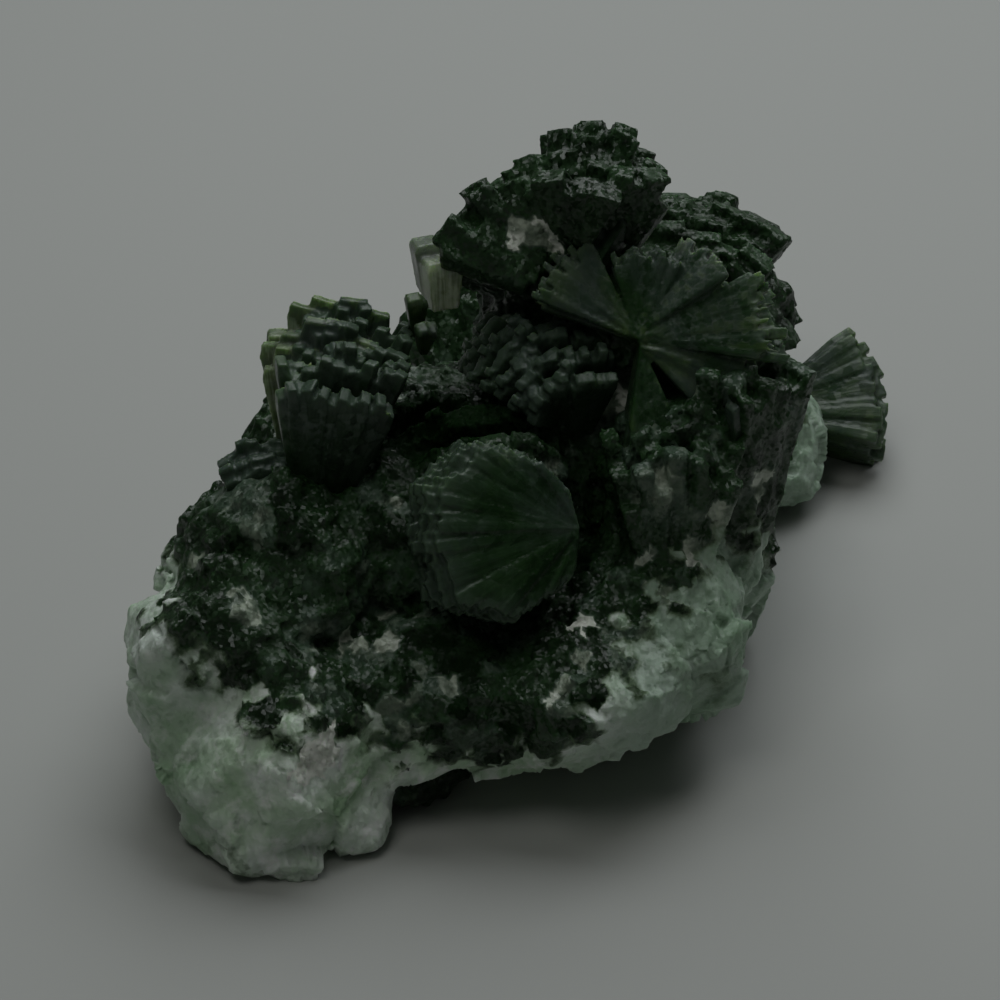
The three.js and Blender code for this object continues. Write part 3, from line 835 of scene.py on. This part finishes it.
crystal_paint = crystal_material()
sheaf("barrel", [
    ((-13.2, 17.4, 12.4), (0.16, 0, 1), (0, -1, 0.1), dict(
         length=15.6, spread=15, crystals=13, thick=3.0, layers=1, flare=2, start=0.42, ragged=0.07,
         twist=16, tone=(0.0, 0.26), side=(-0.2, 0), fine=50)),
    ((-13.2, 20.6, 12.4), (0.18, 0.06, 1), (0, -1, 0.1), dict(
         length=16.6, spread=15, crystals=12, thick=5.6, plates=6, layers=1, flare=4, start=0.42,
         ragged=0.09, twist=32, tone=(0.08, 0.4), side=(-0.1, -0.1),
         outline=((-1, 0.88), (-0.4, 0.95), (0.2, 1.0), (1, 0.98)))),
    ((-13.6, 22.4, 12.4), (0.1, 0.1, 1), (-0.2, -1, 0.1), dict(
         length=16.8, spread=15, crystals=5, thick=3.0, layers=2, flare=3, start=0.45, ragged=0.06,
         twist=9, tone=(0.68, 0.8), side=(-0.08, 0),
         outline=((-1, 0.86), (-0.3, 0.93), (0.3, 1.0), (1, 0.98)))),
])

# The pale block. Two clear, nearly colourless crystals that stand behind the valley, grown before the dark
# ones and left free of them.
sheaf("pale_block", [
    ((-4.0, 25.6, 20.0), (-0.02, 0.14, 1), (0.3, -1, 0.2), dict(
         length=12.2, spread=6, crystals=2, thick=3.2, layers=1, flare=0, start=0.7, ragged=0.06,
         twist=14, tone=(0.92, 1.02))),
])

# The low green fan. A small sheaf of thin green crystals half under the barrel, which leans out over the
# left side.
sheaf("low_green_fan", [
    ((-15.8, 17.8, 15.6), (-0.06, 0.1, 1), (0.2, -1, 0.3), dict(
         length=5.8, spread=30, crystals=8, thick=2.6, layers=2, ragged=0.1, twist=9,
         tone=(0.2, 0.36))),
])

# The squares. Blunt crystals that stand free at the top of the valley, seen on their flat ends, which flash
# in the light.
sheaf("squares", [
    ((-5.6, 24.6, 24.4), (0.09, -0.24, 0.97), (0.35, -0.9, -0.25), dict(
         length=5.2, spread=8, crystals=2, thick=2.0, layers=1, flare=8, start=0.4, ragged=0.14,
         twist=20, tone=(0.42, 0.55))),
])

# The steps. Two sheaves of short blunt crystals below the peak, whose ends rise behind one another like
# stairs.
sheaf("steps", [
    ((4.4, 24.6, 21.4), (-0.6, -0.34, 0.74), (0.2, -0.9, 0.4), dict(
         length=7.4, spread=22, crystals=11, thick=5.6, plates=7, layers=1, flare=18, ragged=0.06,
         twist=8, tone=(0.05, 0.4))),
    ((5.0, 23.8, 18.2), (-0.12, -0.22, 0.97), (0.1, -0.95, 0.2), dict(
         length=9.8, spread=22, crystals=13, thick=4.0, plates=4, layers=1, flare=8, start=0.3,
         ragged=0.1, twist=12, tone=(0.1, 0.42))),
])

# The rosette. Six plates of long thin crystals that radiate from one point below the peak and face the
# front, each plate grown at its own tilt, lined along its length.
sheaf("rosette", [
    ((9.3, 21.4, 28.0), (-0.62, 0.4, 0.42), (0.1, -0.72, 0.62), dict(
         length=7.8, spread=21, crystals=14, thick=1.7, start=0.0, twist=9, ragged=0.14,
         tone=(0.42, 0.58), fine=24)),
    ((9.3, 21.4, 28.0), (0.1, 0.66, 0.74), (0, -0.8, 0.6), dict(
         length=6.5, spread=24, crystals=14, thick=1.7, start=0.0, twist=7, ragged=0.14,
         tone=(0.22, 0.46), fine=24)),
    ((9.3, 21.2, 28.0), (0.66, 0.5, 0.5), (-0.5, -0.6, 0.7), dict(
         length=8.0, spread=17, crystals=10, thick=1.9, start=0.0, twist=7, ragged=0.2,
         tone=(0.2, 0.62), fine=24)),
    ((9.3, 21.4, 28.0), (0.97, 0.16, 0.12), (-0.1, -0.8, 0.7), dict(
         length=9.4, spread=20, crystals=12, thick=2.2, start=0.0, twist=7, ragged=0.16,
         tone=(0.15, 0.55), fine=24)),
    ((9.3, 21.0, 28.0), (0.86, -0.1, -0.44), (0.2, -0.9, 0.5), dict(
         length=8.0, spread=20, crystals=9, thick=1.9, start=0.0, twist=1.5, tone=(0.38, 0.56),
         fine=12)),
    ((9.3, 21.4, 28.0), (0.14, -0.5, -0.85), (0.1, -0.85, 0.5), dict(
         length=8.4, spread=15, crystals=8, thick=2.0, start=0.0, twist=7, ragged=0.3,
         tone=(0.2, 0.55), fine=24)),
])

# The front fan. A shell-like disc of long thin crystals, grown from one root at its right, with a rim of
# uneven ends.
SHELL_OUTLINE = (
    (-1, 0.27), (-0.72, 0.5), (-0.6, 0.72), (-0.47, 0.78), (-0.28, 0.97), (-0.1, 0.93), (0, 0.99),
    (0.12, 0.94), (0.23, 1.0), (0.38, 0.9), (0.54, 0.86), (0.85, 0.42), (1, 0.25),
)
# side makes the disc lighter towards its upper edge: a painted sheen.
sheaf("front_fan", [
    ((4.6, 12.8, 18.8), (-0.96, -0.3, 0.1), (-0.05, -0.82, 0.56), dict(
         length=11.0, spread=78, crystals=44, thick=4.4, plates=3, layers=2, flare=2, start=0.02,
         ragged=0.03, twist=0.6, tone=(0.12, 0.32), side=(0.06, 0),
         outline=SHELL_OUTLINE)),
])

# The far fan. A low bright sheaf of green crystals that grew out flat at the far end, past the root that
# carries it.
sheaf("far_fan", [
    ((18.4, 48.0, 3.6), (0.96, 0.2, 0.12), (0, -0.6, 0.8), dict(
         length=10.6, spread=28, crystals=14, thick=5.4, plates=3, layers=2, flare=1, ragged=0.05,
         tone=(0.42, 0.58))),
])

# The blades. Long thin dark crystals, lined along their length, laid bare where the mass broke away at the
# right of the peak and down the right wall.
sheaf("blades", [
    ((5.0, 23.6, 28.2), (0.4, 0.62, 0.66), (-0.3, -0.7, 0.7), dict(
         length=9.8, spread=11, crystals=9, thick=3.6, plates=2, layers=2, flare=5, start=0.25,
         twist=14, ragged=0.24)),
    ((16.2, 20.0, 8.6), (0.06, 0.04, 1), (0.75, -0.7, 0.1), dict(
         length=17.0, spread=12, crystals=14, thick=3.2, plates=1, layers=3, start=0.1, ragged=0.2,
         twist=20, tone=(0.1, 0.4))),
])
